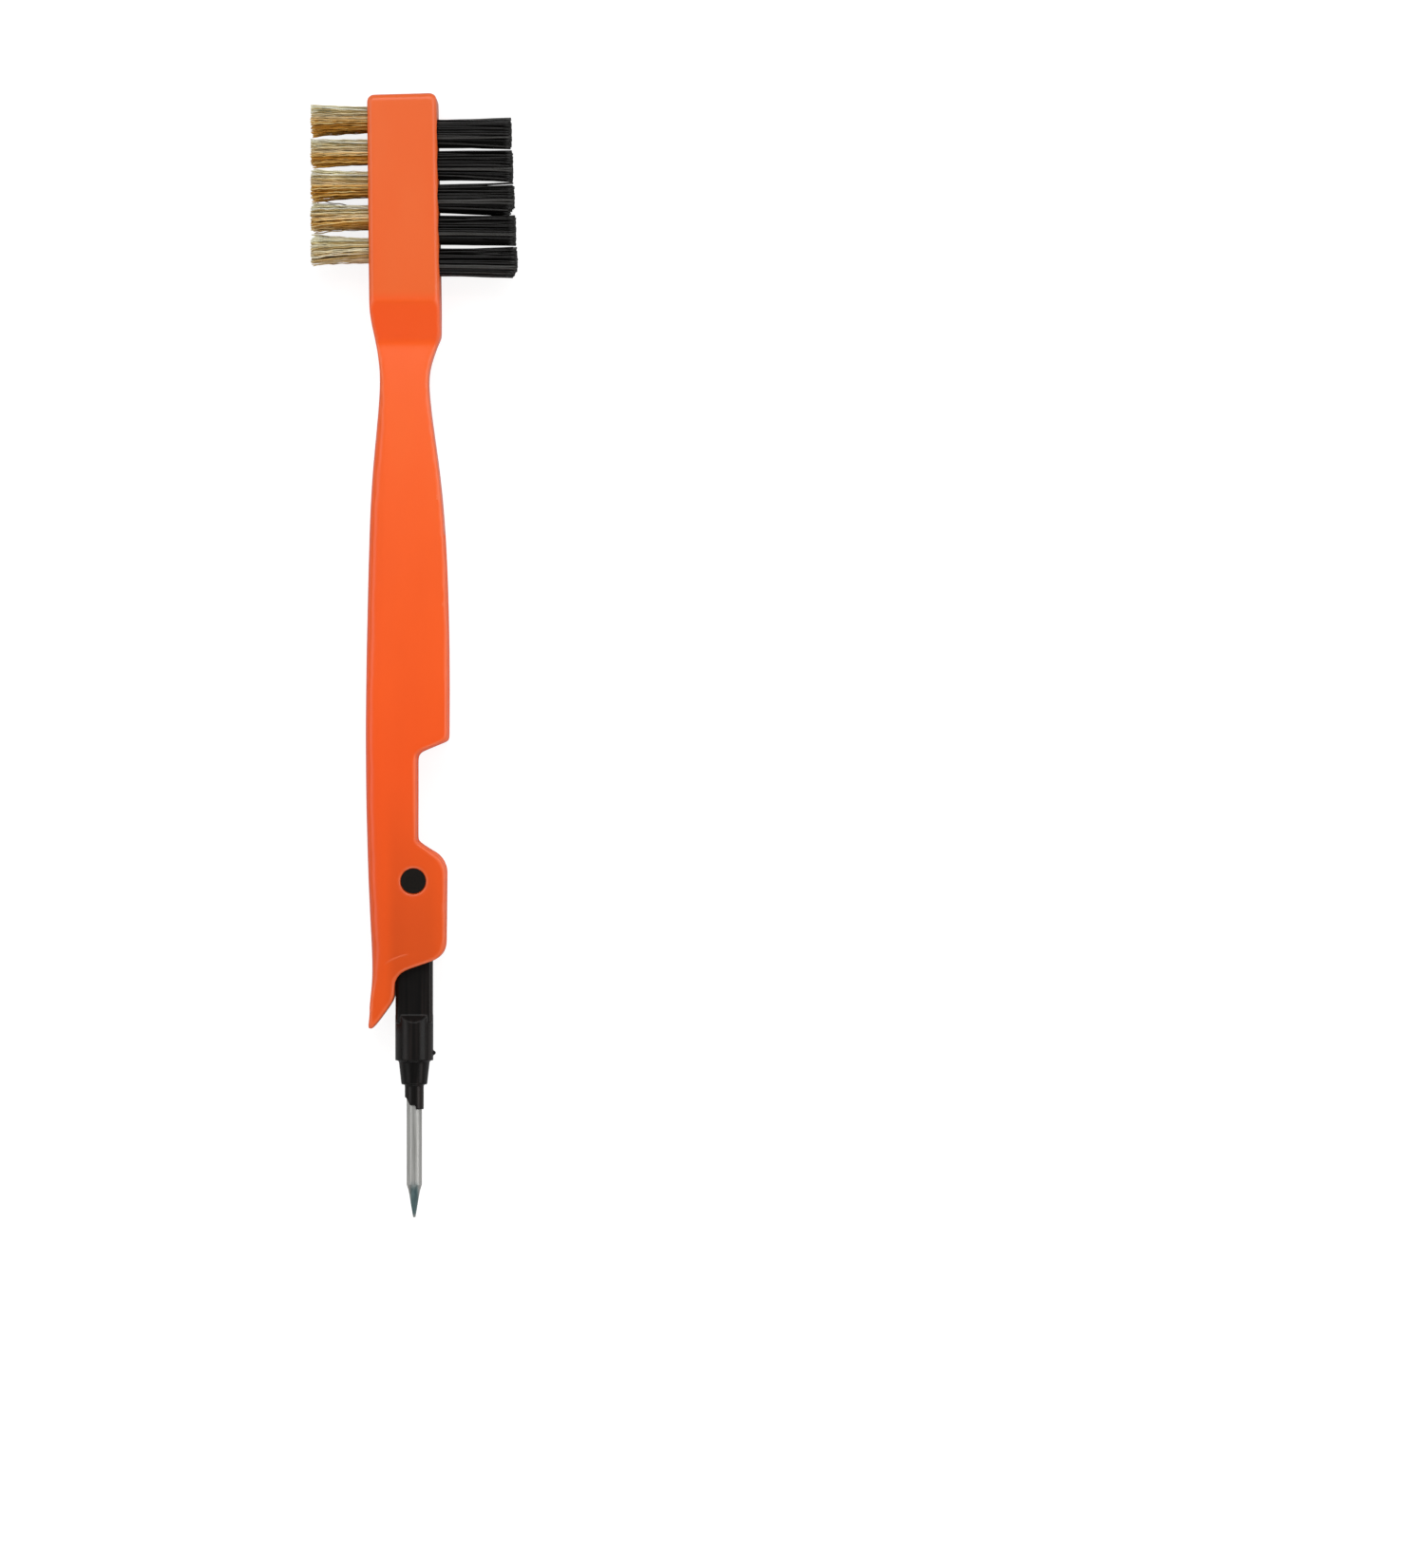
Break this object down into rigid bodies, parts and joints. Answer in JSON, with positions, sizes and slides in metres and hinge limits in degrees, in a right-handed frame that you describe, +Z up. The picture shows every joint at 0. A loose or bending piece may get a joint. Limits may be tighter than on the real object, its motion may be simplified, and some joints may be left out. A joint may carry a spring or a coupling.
{
  "type": "club groove brush",
  "caption": "Two-sided golf club groove brush with brass and nylon bristles and a folding steel groove pick in its handle.",
  "frame": {"origin": "middle of the overall box, on the surface that the brush lies on, with the pick open", "axes": "+Y along the brush towards the brush head, +X across it towards the nylon bristles, +Z up out of the resting face"},
  "size_m": [0.039, 0.2125, 0.013],
  "materials": {
    "handle_orange": "satin moulded",
    "black_plastic": "gloss moulded",
    "needle_steel": "ground",
    "brass_wire": "fine crimped wire",
    "black_nylon": "extruded filament",
    "anchor_wire": "drawn",
    "rivet_black": "matte"
  },
  "bodies": {
    "handle": {"handle": "handle_orange", "pivot_pin": "rivet_black", "pivot_cap": "rivet_black", "brass_tuft_1_upper": "brass_wire", "brass_tuft_1_lower": "brass_wire", "brass_tuft_2_upper": "brass_wire", "brass_tuft_2_lower": "brass_wire", "brass_tuft_3_upper": "brass_wire", "brass_tuft_3_lower": "brass_wire", "brass_tuft_4_upper": "brass_wire", "brass_tuft_4_lower": "brass_wire", "brass_tuft_5_upper": "brass_wire", "brass_tuft_5_lower": "brass_wire", "nylon_tuft_1_upper": "black_nylon", "nylon_tuft_1_lower": "black_nylon", "nylon_tuft_2_upper": "black_nylon", "nylon_tuft_2_lower": "black_nylon", "nylon_tuft_3_upper": "black_nylon", "nylon_tuft_3_lower": "black_nylon", "nylon_tuft_4_upper": "black_nylon", "nylon_tuft_4_lower": "black_nylon", "nylon_tuft_5_upper": "black_nylon", "nylon_tuft_5_lower": "black_nylon", "brass_anchor_1_upper": "anchor_wire", "brass_anchor_1_lower": "anchor_wire", "brass_anchor_2_upper": "anchor_wire", "brass_anchor_2_lower": "anchor_wire", "brass_anchor_3_upper": "anchor_wire", "brass_anchor_3_lower": "anchor_wire", "brass_anchor_4_upper": "anchor_wire", "brass_anchor_4_lower": "anchor_wire", "brass_anchor_5_upper": "anchor_wire", "brass_anchor_5_lower": "anchor_wire", "nylon_anchor_1_upper": "anchor_wire", "nylon_anchor_1_lower": "anchor_wire", "nylon_anchor_2_upper": "anchor_wire", "nylon_anchor_2_lower": "anchor_wire", "nylon_anchor_3_upper": "anchor_wire", "nylon_anchor_3_lower": "anchor_wire", "nylon_anchor_4_upper": "anchor_wire", "nylon_anchor_4_lower": "anchor_wire", "nylon_anchor_5_upper": "anchor_wire", "nylon_anchor_5_lower": "anchor_wire"},
    "pick": {"pick_holder": "black_plastic", "pick_needle": "needle_steel"}
  },
  "joints": [
    {"name": "pick_fold", "type": "hinge", "parent": "handle", "child": "pick", "pos_m": [0, -0.0425, 0.0065], "axis": [0, 0, 1], "range_deg": [0, 180]}
  ]
}
